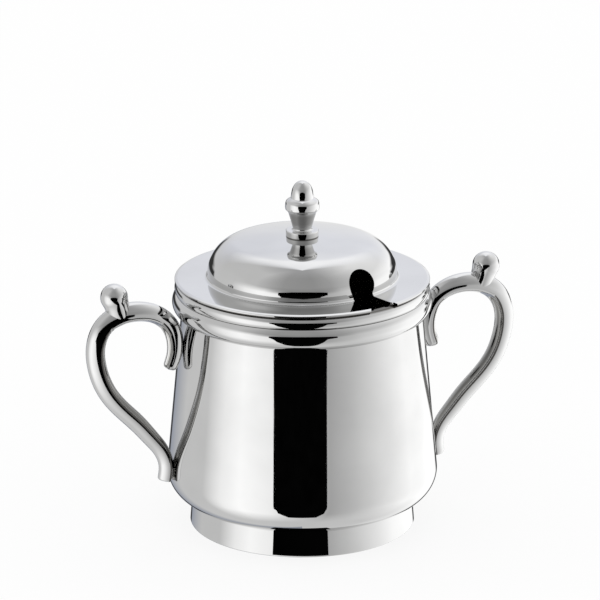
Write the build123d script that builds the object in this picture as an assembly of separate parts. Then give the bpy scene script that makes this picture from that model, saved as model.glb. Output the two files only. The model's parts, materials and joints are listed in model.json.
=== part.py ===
from build123d import *
from math import atan2, cos, degrees, radians, sin, sqrt, tan
import os

# Sugar pot with two scroll handles and a loose, notched lid.
# The origin is the centre of the foot's underside. +Z is up, the handles lie along X,
# and the spoon notch in the lid is towards -Y. Lengths are millimetres, angles are degrees.

# Bowl, drawn from sheet with a cone-shaped wall
bowl_sheet = 0.8
floor_height = 6.5
floor_radius = 31.2
floor_bend = 4.0
base_radius = 42.7
base_rise = 5.6
base_bend = 9.0
neck_radius = 37.4
wall_rise = 56.2

# Foot ring under the bowl
foot_radius = 35.1
foot_flare = 0.9
foot_wall = 1.3
foot_edge = 0.35

# Rim band round the neck, with a wide bead below a narrow one. Rises are above its foot,
# and the beads stand proud of the neck.
rim_rise = 10.0
rim_lip = 0.8
groove_rise = 6.5
lower_bead_proud = 2.8
lower_bead_rise = 3.4
lower_bead_round = 3.9
upper_bead_proud = 2.0
upper_bead_rise = 7.9
upper_bead_round = 2.4
mouth_round = 0.4

# Lid, pressed from sheet
lid_sheet = 1.0
lid_seat_gap = 0.05
flange_proud = 1.95
flange_edge = 0.42
dome_radius = 29.2
dome_height = 13.1
crown_round = 130.0
flank_lean = 27.0
knee_height = 3.3
knee_bend = 5.0
shoulder_bend = 10.0
dome_foot_bend = 1.0

# Locating ring under the lid
bezel_wall = 0.8
bezel_depth = 4.0
bezel_clearance = 0.35

# Keyhole notch for the spoon, turned from the pot's front towards the +X handle
notch_turn = 23.3
notch_eye_radius = 4.8
notch_eye_height = 4.5
notch_eye_tilt = 34.0
notch_half_width = 3.85
notch_mouth_flare = 1.6
notch_mouth_depth = 2.3
notch_mouth_bend = 2.5

# Turned knob and the screw that holds it
collar_radius = 5.05
collar_height = 1.95
collar_edge = 0.3
neck_waist = 2.95
waist_height = 2.6
waist_bend = 0.55
bulb_edge_radius = 4.5
bulb_edge_height = 8.6
bulb_radius = 5.26
bulb_height = 9.5
bulb_top_radius = 4.15
bulb_top_height = 11.6
acorn_radius = 3.55
acorn_foot_height = 12.1
acorn_side_radius = 2.9
acorn_side_height = 15.3
knob_height = 17.5
screw_radius = 1.5
screw_reach = 7.0
screw_clearance = 0.03
screw_hole_clearance = 0.2
screw_head_radius = 2.8
screw_head_height = 1.9
screw_head_edge = 0.5
slot_width = 0.8
slot_depth = 0.9
washer_radius = 4.2
washer_thickness = 0.6

# Scroll handles: a spline in the XZ plane with a D-shaped section. The hook touches the
# bowl a little below its neck, and the tail a little above its base.
hook_touch_drop = 6.8
hook_tip_drop = 8.2
hook_tip_lift = 1.9
tail_touch_rise = 9.9
tail_tip_drop = 5.0
tail_tip_lift = 0.5
handle_rise = 10.8
handle_reach = 24.5
handle_half_width = 3.3
handle_inner_depth = 2.7
handle_fullness = 0.77
hook_scale = 0.92
hook_tip_scale = 0.76
top_scale = 1.06
tail_scale = 0.76
solder_depth = 0.15
handle_stations = 26

# Thumb balls on the handles
ball_radius = 4.25
ball_sink = 1.4
ball_turn = 73.1


def turned(section):
    """Turn a half section drawn in the XZ plane through a full circle."""
    return revolve(section, Axis.Z, 360)


def rounded(section, corners):
    """Round the corners of a section or line: pairs of a corner's place and its radius."""
    for place, radius in corners:
        corner = section.vertices().sort_by_distance(place)[0]
        section = fillet(corner, radius)
    return section


def at(radius, height):
    """A point of the half section that is turned about Z."""
    return Vector(radius, 0, height)


def wall_radius(height):
    """Outer radius of the bowl's cone at a height, carried on above the neck."""
    share = (height - base_height) / (neck_height - base_height)
    return base_radius + share * (neck_radius - base_radius)


def bead_radius(reach, rise, bend, height):
    """Radius of a rim bead's surface at a height."""
    return reach - bend + sqrt(bend**2 - (height - neck_height - rise) ** 2)


base_height = floor_height + base_rise
neck_height = base_height + wall_rise
rim_top = neck_height + rim_rise
groove_height = neck_height + groove_rise
mouth_radius = neck_radius - bowl_sheet
lower_bead_reach = neck_radius + lower_bead_proud
upper_bead_reach = neck_radius + upper_bead_proud
flange_radius = neck_radius + flange_proud
neck_top = rim_top - rim_lip
flange_under = rim_top + lid_seat_gap
flange_top = flange_under + lid_sheet
crown_top = flange_top + dome_height
bezel_radius = mouth_radius - bezel_clearance
hook_touch_height = neck_height - hook_touch_drop
tail_touch_height = base_height + tail_touch_rise


def bowl_line():
    """The bowl's outer line, from the middle of its floor to the top of its neck."""
    corners = [
        at(0, floor_height),
        at(floor_radius, floor_height),
        at(base_radius, base_height),
        at(neck_radius, neck_height),
        at(neck_radius, neck_top),
    ]
    line = Wire(Polyline(*corners).edges())
    return rounded(line, [(corners[1], floor_bend), (corners[2], base_bend)])


def bowl_blank():
    """The bowl's outer form as a solid."""
    line = bowl_line()
    closing = Polyline(at(neck_radius, neck_top), at(0, neck_top), at(0, floor_height))
    return turned(make_face(Curve() + line.edges() + closing.edges()))


def pot_body():
    """The bowl: an even sheet inside its outer line, open at the top."""
    sheet = bowl_line().offset_2d(bowl_sheet, kind=Kind.INTERSECTION, side=Side.RIGHT)
    return turned(make_face(sheet))


def foot_ring():
    """The flared ring that carries the bowl, closed against the bowl's underside."""
    top = base_height
    slope = foot_flare / base_height
    outer_top = foot_radius - slope * top
    corners = [
        at(foot_radius, 0),
        at(outer_top, top),
        at(outer_top - foot_wall, top),
        at(foot_radius - foot_wall, 0),
    ]
    section = make_face(Polyline(*corners, close=True))
    section = rounded(section, [(corners[0], foot_edge), (corners[3], foot_edge)])
    return turned(section) - bowl_blank()


def rim_band():
    """The double-beaded band round the neck, whose lip covers the sheet's edge."""
    lower = (lower_bead_reach, lower_bead_rise, lower_bead_round)
    upper = (upper_bead_reach, upper_bead_rise, upper_bead_round)
    bottom = at(bead_radius(*lower, neck_height), neck_height)
    groove_in = at(bead_radius(*lower, groove_height), groove_height)
    groove_out = at(bead_radius(*upper, groove_height), groove_height)
    top = at(bead_radius(*upper, rim_top), rim_top)
    lip = at(mouth_radius, rim_top)
    edges = [
        ThreePointArc(bottom, at(lower_bead_reach, neck_height + lower_bead_rise), groove_in),
        Line(groove_in, groove_out),
        ThreePointArc(groove_out, at(upper_bead_reach, neck_height + upper_bead_rise), top),
        Polyline(
            top,
            lip,
            at(mouth_radius, neck_top),
            at(neck_radius, neck_top),
            at(neck_radius, neck_height),
            bottom,
        ),
    ]
    return turned(rounded(make_face(Curve() + edges), [(lip, mouth_round)]))


def dome_section(inset):
    """Half section of everything under the lid's top surface, drawn inset inside it."""
    lean = radians(flank_lean)
    floor = flange_top - inset
    wall = dome_radius - inset
    knee = at(wall, flange_top + knee_height - inset * tan(lean / 2))
    crown = crown_round - inset
    middle = crown_top - crown_round
    # Where the leaning flank meets the crown's circle
    along = -wall * sin(lean) + (knee.Z - middle) * cos(lean)
    away = wall**2 + (knee.Z - middle) ** 2 - crown**2
    run = -along + sqrt(along**2 - away)
    edge = at(wall - run * sin(lean), knee.Z + run * cos(lean))
    half = atan2(edge.X, edge.Z - middle) / 2
    below = at(0, flange_under - bezel_depth)
    edges = [
        Line(below, at(0, middle + crown)),
        ThreePointArc(
            at(0, middle + crown),
            at(crown * sin(half), middle + crown * cos(half)),
            edge,
        ),
        Polyline(edge, knee, at(wall, floor)),
    ]
    bends = [(edge, shoulder_bend - inset), (knee, knee_bend - inset)]
    return edges, below, floor, wall, bends


def dome_blank():
    """The lid's outer form as a solid: the dome standing on a flat round flange."""
    edges, below, floor, wall, bends = dome_section(0)
    foot = at(wall, floor)
    rim = Polyline(
        foot,
        at(flange_radius, flange_top),
        at(flange_radius, flange_under),
        at(0, flange_under),
    )
    axis = Line(at(0, flange_under), at(0, crown_top))
    section = make_face(Curve() + [axis, edges[1], edges[2], rim])
    bends = bends + [
        (foot, dome_foot_bend),
        (at(flange_radius, flange_top), flange_edge),
        (at(flange_radius, flange_under), flange_edge),
    ]
    return turned(rounded(section, bends))


def dome_hollow():
    """The space inside the dome, with its mouth turned out below the flange."""
    edges, below, floor, wall, bends = dome_section(lid_sheet)
    mouth = Polyline(at(wall, floor), at(wall, below.Z), below)
    section = make_face(Curve() + edges + [mouth])
    return turned(rounded(section, bends))


def notch_tool():
    """The keyhole's cutter: a tilted round eye, and a slot that runs out over the rim."""
    eye_radius = dome_radius - (notch_eye_height - knee_height) * tan(radians(flank_lean))
    eye_place = at(eye_radius, flange_top + notch_eye_height)
    tilt = radians(notch_eye_tilt)
    eye_plane = Plane(origin=eye_place, x_dir=(0, 1, 0), z_dir=(cos(tilt), 0, sin(tilt)))
    eye = extrude(eye_plane * Circle(notch_eye_radius), dome_radius / 2, both=True)

    inner = dome_radius - notch_eye_radius
    throat = flange_radius - notch_mouth_depth
    mouth = flange_radius + notch_mouth_depth
    flared = notch_half_width + 2 * notch_mouth_flare
    plan = [
        (inner, notch_half_width),
        (throat, notch_half_width),
        (mouth, flared),
        (mouth, -flared),
        (throat, -notch_half_width),
        (inner, -notch_half_width),
    ]
    outline = make_face(Polyline(*plan, close=True))
    outline = rounded(outline, [(plan[1], notch_mouth_bend), (plan[4], notch_mouth_bend)])
    slot_foot = flange_under - bezel_depth - lid_sheet
    slot_top = flange_top + notch_eye_height / 2
    slot = Pos(0, 0, slot_foot) * extrude(outline, slot_top - slot_foot)
    return Rot(0, 0, notch_turn - 90) * (eye + slot)


def screw_hole(radius, foot, top):
    """A round cutter on the knob's axis."""
    return Pos(0, 0, foot) * extrude(Circle(radius), top - foot)


def lid_cover():
    """The lid's sheet: dome, flange, keyhole notch and the screw's hole."""
    sheet = dome_blank() - dome_hollow() - notch_tool()
    reach = crown_top + lid_sheet
    return sheet - screw_hole(screw_radius + screw_hole_clearance, flange_top, reach)


def lid_bezel():
    """The ring under the flange that keeps the lid centred in the mouth."""
    foot = flange_under - bezel_depth
    ring = Circle(bezel_radius) - Circle(bezel_radius - bezel_wall)
    return Pos(0, 0, foot) * extrude(ring, bezel_depth) - notch_tool()


def knob():
    """The turned knob: collar, waist, bulb and acorn in one piece, bored from below."""
    base = crown_top - collar_edge
    top = crown_top + collar_height
    rim = at(collar_radius, top)
    waist_foot = at(neck_waist, top)
    waist = at(neck_waist, crown_top + waist_height)
    bulb_edge = at(bulb_edge_radius, crown_top + bulb_edge_height)
    bulb_top = at(bulb_top_radius, crown_top + bulb_top_height)
    bulb_side = at(bulb_radius, crown_top + bulb_height)
    acorn_foot = at(acorn_radius, crown_top + acorn_foot_height)
    acorn_side = at(acorn_side_radius, crown_top + acorn_side_height)
    tip = at(0, crown_top + knob_height)
    edges = [
        Polyline(tip, at(0, base), at(collar_radius, base), rim, waist_foot, waist),
        Spline(waist, bulb_edge, tangents=[(0, 0, 1), (0.42, 0, 1)]),
        Spline(bulb_edge, bulb_side, bulb_top),
        Line(bulb_top, acorn_foot),
        Spline(acorn_foot, acorn_side, tip, tangents=[(0, 0, 1), (-1, 0, 0)]),
    ]
    section = make_face(Curve() + edges)
    section = rounded(section, [(rim, collar_edge), (waist_foot, waist_bend)])
    bore = screw_hole(screw_radius + screw_clearance, base, crown_top + screw_reach)
    return turned(section) - dome_blank() - bore


def washer_top():
    """Height at which a flat washer meets the inside of the crown."""
    inner = crown_round - lid_sheet
    return crown_top - crown_round + sqrt(inner**2 - washer_radius**2)


def knob_washer():
    """The flat washer between the screw's head and the dome."""
    ring = Circle(washer_radius) - Circle(screw_radius + screw_clearance)
    return Pos(0, 0, washer_top() - washer_thickness) * extrude(ring, washer_thickness)


def knob_screw():
    """The slotted screw that draws the knob down on the dome."""
    seat = washer_top() - washer_thickness
    head = Pos(0, 0, seat - screw_head_height) * extrude(Circle(screw_head_radius), screw_head_height)
    head = fillet(head.edges().group_by(Axis.Z)[0], screw_head_edge)
    shank = screw_hole(screw_radius, seat, crown_top + screw_reach)
    slot = Pos(0, 0, seat - screw_head_height) * Box(
        4 * screw_head_radius, slot_width, 2 * slot_depth
    )
    return head + shank - slot


def handle_path():
    """The right handle's centre line, from the hook's tip over the top to the tail's tip."""
    hook_back = handle_half_width * hook_scale - solder_depth
    tail_back = handle_inner_depth * tail_scale - solder_depth
    hook = wall_radius(hook_touch_height) + hook_back
    tail = wall_radius(tail_touch_height) + tail_back
    fall = hook_touch_height - tail_touch_height

    def place(reach_share, height):
        return at(hook + reach_share * handle_reach, hook_touch_height + height)

    return Spline(
        at(hook + hook_tip_lift, hook_touch_height - hook_tip_drop),
        at(hook + 0.16 * hook_tip_lift, hook_touch_height - 0.45 * hook_tip_drop),
        place(0, 0),
        place(0.065, 0.52 * handle_rise),
        place(0.22, 0.85 * handle_rise),
        place(0.51, handle_rise),
        place(0.74, 0.90 * handle_rise),
        place(0.90, 0.62 * handle_rise),
        place(0.995, 0.10 * handle_rise),
        place(0.985, -0.14 * fall),
        place(0.86, -0.355 * fall),
        place(0.69, -0.495 * fall),
        place(0.49, -0.625 * fall),
        place(0.30, -0.768 * fall),
        at(tail + 0.08 * handle_reach, tail_touch_height + 0.142 * fall),
        at(tail, tail_touch_height),
        at(tail + tail_tip_lift, tail_touch_height - tail_tip_drop),
    )


def handle_place(path, share):
    """A point of the handle's centre line, the way it runs there and the way outward."""
    point = path.position_at(share * path.length, position_mode=PositionMode.LENGTH)
    run = path.tangent_at(share * path.length, position_mode=PositionMode.LENGTH)
    return point, run, Vector(-run.Z, 0, run.X)


def handle_scale(share):
    """The section's size along the handle, from 0 at the hook's tip to 1 at the tail's."""
    knots = [
        (0.0, hook_tip_scale),
        (0.14, hook_scale),
        (0.32, top_scale),
        (0.50, 1.0),
        (0.72, 0.95),
        (1.0, tail_scale),
    ]
    for (low, low_scale), (high, high_scale) in zip(knots, knots[1:]):
        if share <= high:
            step = (share - low) / (high - low)
            ease = step * step * (3 - 2 * step)
            return low_scale + ease * (high_scale - low_scale)
    return tail_scale


def handle_section(scale):
    """The handle's section: a half round outside and a flatter, softly cornered inside."""
    half = handle_half_width * scale
    depth = handle_inner_depth * scale
    full = handle_fullness
    outside = ThreePointArc((0, half), (half, 0), (0, -half))
    inside = Spline(
        (0, -half),
        (-depth * full, -half * full),
        (-depth, 0),
        (-depth * full, half * full),
        (0, half),
        tangents=[(-1, 0), (1, 0)],
    )
    return make_face(Curve() + [outside, inside])


def handle_blank():
    """The right handle before its seats are cut, lofted through sections on its path."""
    path = handle_path()
    sections = []
    for index in range(handle_stations + 1):
        share = index / handle_stations
        point, run, outward = handle_place(path, share)
        plane = Plane(origin=point, x_dir=outward, z_dir=run)
        sections.append(plane * handle_section(handle_scale(share)))
    return loft(sections)


def ball_place():
    """Centre of the right thumb ball, which sits on the handle's outer face."""
    path = handle_path()
    shares = [0.2 + 0.002 * index for index in range(150)]

    def off_turn(share):
        point, run, outward = handle_place(path, share)
        return abs(degrees(atan2(outward.Z, outward.X)) - ball_turn)

    share = min(shares, key=off_turn)
    point, run, outward = handle_place(path, share)
    lift = handle_half_width * handle_scale(share) + ball_radius - ball_sink
    return point + outward * lift


def thumb_ball():
    """The right thumb ball."""
    centre = ball_place()
    return Pos(centre.X, 0, centre.Z) * Sphere(ball_radius)


def handle():
    """The right handle, seated against the bowl and under its thumb ball."""
    return handle_blank() - bowl_blank() - thumb_ball()


def build():
    """Every piece of the sugar pot by name."""
    right_handle = handle()
    right_ball = thumb_ball()
    return {
        "pot_body": pot_body(),
        "rim_band": rim_band(),
        "foot_ring": foot_ring(),
        "right_handle": right_handle,
        "left_handle": mirror(right_handle, about=Plane.YZ),
        "right_thumb_ball": right_ball,
        "left_thumb_ball": mirror(right_ball, about=Plane.YZ),
        "lid_cover": lid_cover(),
        "lid_bezel": lid_bezel(),
        "knob": knob(),
        "knob_washer": knob_washer(),
        "knob_screw": knob_screw(),
    }


os.makedirs("parts", exist_ok=True)
for name, shape in build().items():
    export_step(shape, f"parts/{name}.step")
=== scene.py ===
import json
from math import atan, atan2, ceil, cos, pi, radians, sin, sqrt, tan, tau

import bmesh
import bpy
import numpy as np
from bpy.props import FloatProperty, FloatVectorProperty, PointerProperty
from mathutils import Matrix, Vector

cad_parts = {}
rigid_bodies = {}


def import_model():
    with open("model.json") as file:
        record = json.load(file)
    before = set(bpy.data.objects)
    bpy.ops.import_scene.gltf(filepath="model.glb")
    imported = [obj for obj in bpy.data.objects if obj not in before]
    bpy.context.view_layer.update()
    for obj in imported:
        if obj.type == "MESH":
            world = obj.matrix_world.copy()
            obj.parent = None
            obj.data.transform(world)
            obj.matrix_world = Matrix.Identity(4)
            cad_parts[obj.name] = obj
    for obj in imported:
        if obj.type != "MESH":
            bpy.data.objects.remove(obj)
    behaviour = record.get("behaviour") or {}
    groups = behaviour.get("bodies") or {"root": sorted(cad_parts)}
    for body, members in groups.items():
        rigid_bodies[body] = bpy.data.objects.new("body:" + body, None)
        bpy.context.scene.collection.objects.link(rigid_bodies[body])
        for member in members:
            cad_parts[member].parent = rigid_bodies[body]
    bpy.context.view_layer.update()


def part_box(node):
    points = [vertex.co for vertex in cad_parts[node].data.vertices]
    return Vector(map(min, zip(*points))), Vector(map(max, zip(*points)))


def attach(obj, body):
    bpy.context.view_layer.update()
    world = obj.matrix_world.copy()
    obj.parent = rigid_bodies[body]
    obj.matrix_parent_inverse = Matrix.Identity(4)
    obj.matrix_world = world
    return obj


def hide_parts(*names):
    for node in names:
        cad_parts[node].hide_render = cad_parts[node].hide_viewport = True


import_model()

# Sugar pot in mirror-polished plate: a bowl with a beaded rim, a foot ring, two scroll
# handles with thumb balls and a loose lid with a spoon notch and a turned knob.
# Lengths are metres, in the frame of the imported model: the origin is the centre of the
# foot's underside, +Z is up, the handles lie along X, and the notch faces -Y, turned a little
# towards +X.

bl_info = {
    "name": "Sugar pot",
    "version": (1, 0, 0),
    "blender": (4, 5, 0),
    "location": "View3D > Sidebar > Sugar pot",
    "description": "Builds a polished sugar pot, its lid and the studio round it",
    "category": "Object",
}


def mm(value):
    """Millimetres as metres."""
    return value * 0.001


def top_of(node):
    """Height of a node's top."""
    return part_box(node)[1][2]


def foot_of(node):
    """Height of a node's lowest point."""
    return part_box(node)[0][2]


def reach_of(node):
    """How far a node reaches along +X, less a hundredth of a millimetre as a margin."""
    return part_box(node)[1][0] - mm(0.01)


def length(name, description, default):
    """A size that a user can change."""
    return FloatProperty(
        name=name, description=description, default=default, min=0, precision=5, unit="LENGTH"
    )


def angle(name, description, default):
    """An angle that a user can change, given in degrees."""
    return FloatProperty(
        name=name, description=description, default=radians(default), unit="ROTATION"
    )


def amount(name, description, default, low=0, high=1):
    """A plain number that a user can change."""
    return FloatProperty(name=name, description=description, default=default, min=low, max=high)


def colour(name, description, default):
    """A colour that a user can change."""
    return FloatVectorProperty(
        name=name, description=description, default=default, subtype="COLOR", min=0, max=1
    )


class BowlSizes(bpy.types.PropertyGroup):
    """Sizes of the bowl, its rim band and its foot ring."""

    sheet: length("Sheet", "Thickness of the bowl's sheet", mm(0.8))
    floor_height: length("Floor height", "Height of the bowl's underside", foot_of("pot_body"))
    floor_radius: length("Floor radius", "Radius of the flat underside", mm(31.2))
    floor_bend: length("Floor bend", "Rounding where the underside turns up", mm(4.0))
    base_radius: length("Base radius", "Radius where wall and base would meet", mm(42.69))
    base_rise: length("Base rise", "Height of that corner above the underside", mm(5.6))
    base_bend: length("Base bend", "Rounding of the bowl's lower corner", mm(9.0))
    neck_radius: length("Neck radius", "Outer radius of the neck", mm(37.4))
    rim_lip: length("Lip", "Thickness of the lip over the neck's edge", mm(0.8))
    groove_rise: length("Groove rise", "Height of the groove above the band's foot", mm(6.4))
    lower_reach: length("Lower bead", "Radius of the wide bead", reach_of("rim_band"))
    lower_rise: length("Lower bead rise", "Height of its middle above the foot", mm(3.4))
    lower_round: length("Lower bead round", "Rounding of the wide bead", mm(3.9))
    upper_reach: length("Upper bead", "Radius of the narrow bead", mm(39.4))
    upper_rise: length("Upper bead rise", "Height of its middle above the foot", mm(7.9))
    upper_round: length("Upper bead round", "Rounding of the narrow bead", mm(2.4))
    mouth_round: length("Mouth round", "Rounding of the lip's inner edge", mm(0.4))
    foot_radius: length("Foot radius", "Radius of the foot's lower edge", mm(35.1))
    foot_flare: length("Foot flare", "How much wider the foot is below", mm(0.9))
    foot_wall: length("Foot wall", "Thickness of the foot ring", mm(1.3))
    foot_edge: length("Foot edge", "Rounding of the foot's lower edges", mm(0.35))


class LidSizes(bpy.types.PropertyGroup):
    """Sizes of the lid, its locating ring and the notch for the spoon."""

    sheet: length("Sheet", "Thickness of the lid's sheet", mm(1.0))
    flange_edge: length("Flange edge", "Rounding of the flange's edge", mm(0.2))
    roll_width: length("Roll width", "Width of the slope along the flange's edge", mm(0.85))
    roll_drop: length("Roll drop", "How far the flange's top falls there", mm(0.3))
    dome_radius: length("Dome radius", "Radius of the dome's upright wall", mm(29.2))
    crown_round: length("Crown round", "Radius of the crown's curve", mm(130.0))
    flank_lean: angle("Flank lean", "Lean of the dome's flank from upright", 27.0)
    knee_height: length("Knee height", "Height where the wall starts to lean", mm(3.65))
    knee_bend: length("Knee bend", "Rounding between wall and flank", mm(6.9))
    shoulder_bend: length("Shoulder bend", "Rounding between flank and crown", mm(10.0))
    foot_bend: length("Foot bend", "Hollow rounding at the dome's foot", mm(1.0))
    ring_wall: length("Ring wall", "Thickness of the locating ring", mm(0.8))
    notch_turn: angle("Notch turn", "Turn of the notch from the front towards +X", 23.3)
    eye_radius: length("Eye radius", "Radius of the notch's round eye", mm(4.8))
    eye_height: length("Eye height", "Height of the eye above the flange", mm(4.5))
    eye_tilt: angle("Eye tilt", "Tilt of the eye's axis above level", 34.0)
    slot_half: length("Slot half width", "Half the width of the notch's slot", mm(3.85))
    mouth_flare: length("Mouth flare", "How much the slot widens at the edge", mm(1.6))
    mouth_depth: length("Mouth depth", "Where the slot starts to widen", mm(2.3))
    mouth_bend: length("Mouth bend", "Rounding of the slot's outer corners", mm(2.5))


class KnobSizes(bpy.types.PropertyGroup):
    """Sizes of the turned knob. Heights are above the crown of the dome."""

    collar_radius: length("Collar radius", "Radius of the collar", mm(5.05))
    collar_height: length("Collar height", "Height of the collar", mm(1.95))
    collar_edge: length("Collar edge", "Rounding of the collar's edge", mm(0.3))
    waist_radius: length("Waist radius", "Radius of the narrow waist", mm(2.95))
    waist_bend: length("Waist bend", "Rounding between collar and waist", mm(0.55))
    cone_radius: length("Cone radius", "Radius at the top of the cone", mm(4.95))
    cone_height: length("Cone height", "Height of the top of the cone", mm(8.3))
    bulb_radius: length("Bulb radius", "Greatest radius of the bulb", mm(5.29))
    acorn_radius: length("Acorn radius", "Radius at the acorn's foot", mm(3.55))
    acorn_foot: length("Acorn foot", "Height of the acorn's foot", mm(12.1))


class HandleSizes(bpy.types.PropertyGroup):
    """Sizes of a scroll handle and its thumb ball."""

    hook_drop: length("Hook drop", "Where the hook touches, below the neck", mm(6.8))
    hook_tip_drop: length("Hook tip drop", "Height of the tip below that", mm(8.2))
    hook_tip_lift: length("Hook tip lift", "How far the tip curls away", mm(1.9))
    tail_rise: length("Tail rise", "Where the tail touches, above the base", mm(9.9))
    tail_tip_drop: length("Tail tip drop", "Height of the tip below that", mm(5.0))
    tail_tip_lift: length("Tail tip lift", "How far the tip curls away", mm(0.5))
    rise: length("Rise", "Height of the top above the hook's touch", mm(10.8))
    reach: length("Reach", "How far the handle stands out", mm(24.47))
    half_width: length("Half width", "Half the width of the section", mm(3.3))
    inner_depth: length("Inner depth", "Depth of the section's inner side", mm(2.7))
    widest_line: length("Widest line", "How far inside the middle the section is widest", mm(0.65))
    edge_step: length("Edge step", "Depth of the flutes' floor below the widest line", mm(0.55))
    rib_share: amount("Rib share", "Share of the inner side's width that the rib takes", 0.62)
    inner_share: amount("Inner share", "Width of the inner side against the outer's", 0.965)
    squareness: amount("Squareness", "Power that squares the plain inner side", 2.6, 1, 8)
    sink: length("Sink", "How far a handle sinks into the bowl", mm(0.15))
    ball_turn: angle("Ball turn", "Turn of a ball's axis above level", 73.1)
    stalk_radius: length("Stalk radius", "Radius of the stalk under a ball", mm(3.65))
    stalk_length: length("Stalk length", "Ball's centre to the end of its stalk", mm(7.3))


class Finish(bpy.types.PropertyGroup):
    """Colours and polish of the metal, and the colour of the painted shade in its creases."""

    plate: colour("Plate", "Colour of the polished plate", (0.61, 0.61, 0.607))
    flute: colour("Flute", "Colour in the handles' flutes", (0.42, 0.415, 0.40))
    # Dark colour painted into creases and along the handles' edges as shade
    crease_shade: colour("Crease_shade", "Colour in the creases", (0.11, 0.105, 0.10))
    inside: colour("Inside", "Colour of the bowl's inside", (0.62, 0.61, 0.58))
    brass: colour("Brass", "Colour of the screw and washer", (0.72, 0.55, 0.29))
    polish: amount("Polish", "Roughness of the polished plate", 0.02)
    haze: amount("Haze", "Roughness where it is handled", 0.06)


class Studio(bpy.types.PropertyGroup):
    """The camera, the floor, the light tent and the dark fence."""

    azimuth: angle("Azimuth", "Turn of the camera to the left of the front", 16.2)
    elevation: angle("Elevation", "Height of the camera above level", 19.4)
    distance: length("Distance", "Camera to the middle of the pot", 1.3377)
    target_height: length("Target height", "Height that the distance is taken to", mm(38.83))
    lens: amount("Lens", "Focal length in mm", 258.0, 1, 2000)
    target_x: amount("Target column", "Where the target lands across the frame", 302.37, 0, 600)
    target_y: amount("Target row", "Where the target lands down the frame", 400.0, 0, 600)
    floor_colour: colour("Floor", "Colour of the floor", (0.96, 0.96, 0.96))
    floor_glow: amount("Floor glow", "Share of plain white in the floor as seen directly", 0.85)
    tent_radius: length("Tent radius", "Radius of the light tent", 3.0)
    tent_light: amount("Tent light", "Strength of the light on the tent", 1.5, 0, 10)
    opening_left: angle("Opening left", "Left edge of the tent's opening from the camera", 28.4)
    opening_right: angle("Opening right", "Right edge of the tent's opening", 30.0)
    opening_top: angle("Opening top", "Height of the opening's top edge", 16.6)
    opening_fall: angle("Opening fall", "How much lower the top edge is at its ends", 7.0)
    fence_radius: length("Fence radius", "Radius of the dark fence by the foot", mm(37.0))
    fence_height: length("Fence height", "Height of the dark fence by the foot", mm(7.9))


# Curves and outlines. An outline is a list of (radius, height) pairs.

STEP = mm(0.8)
ARC_STEP = radians(4)
SHARP = radians(40)
TURN_STEPS, KNOB_STEPS, BALL_STEPS = 192, 96, 64
# A small gap or overlap between faces that would otherwise coincide
HAIR = mm(0.05)
# Vertices nearer than this are one, and a smooth curve is measured with this many points a place
WELD, FINE_POINTS = 1e-7, 40


def straight(start, end, step=STEP):
    """Points on a straight run, without its end."""
    start, end = Vector(start), Vector(end)
    count = max(1, ceil((end - start).length / step))
    return [tuple(start.lerp(end, index / count)) for index in range(count)]


def arc(centre, radius, first, last):
    """Points on an arc from one angle to another, both included."""
    count = max(2, ceil(abs(last - first) / ARC_STEP))
    turns = [first + (last - first) * index / count for index in range(count + 1)]
    return [(centre[0] + radius * cos(turn), centre[1] + radius * sin(turn)) for turn in turns]


def bend(before, corner, after, radius):
    """The arc that rounds a corner between two straight runs."""
    before, corner, after = Vector(before), Vector(corner), Vector(after)
    back, ahead = (before - corner).normalized(), (after - corner).normalized()
    half = back.angle(ahead) / 2
    centre = corner + (back + ahead).normalized() * (radius / sin(half))
    start, end = (corner + way * (radius / tan(half)) for way in (back, ahead))
    first = atan2(start.y - centre.y, start.x - centre.x)
    sweep = (atan2(end.y - centre.y, end.x - centre.x) - first + pi) % tau - pi
    return arc(centre, radius, first, first + sweep)


def outline(corners, closed=False, step=STEP):
    """Points along corners given as (radius, height) or (radius, height, rounding)."""
    count = len(corners)
    nodes = []
    for index, corner in enumerate(corners):
        place = corner[:2]
        inside = closed or 0 < index < count - 1
        if len(corner) == 3 and corner[2] > 0 and inside:
            before, after = corners[index - 1][:2], corners[(index + 1) % count][:2]
            nodes.append(bend(before, place, after, corner[2]))
        else:
            nodes.append([place])
    points = []
    for index, node in enumerate(nodes):
        points += node[:-1]
        last = index == count - 1
        if last and not closed:
            points.append(node[-1])
        else:
            points += straight(node[-1], nodes[(index + 1) % count][0], step)
    return points


def inset(corners, depth):
    """Corners of an open outline moved to its left by a depth, with their rounding."""
    places = [Vector(corner[:2]) for corner in corners]
    ways = [(after - before).normalized() for before, after in zip(places, places[1:])]
    moved = []
    for index, corner in enumerate(corners):
        before, after = ways[max(index - 1, 0)], ways[min(index, len(ways) - 1)]
        left = Vector((-before.y, before.x)) + Vector((-after.y, after.x))
        left *= depth / (1 + before.dot(after))
        turn = before.x * after.y - before.y * after.x
        place = places[index] + left
        rounding = corner[2] - (depth if turn > 0 else -depth) if len(corner) == 3 else 0
        moved.append((place.x, place.y, rounding))
    return moved


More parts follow.
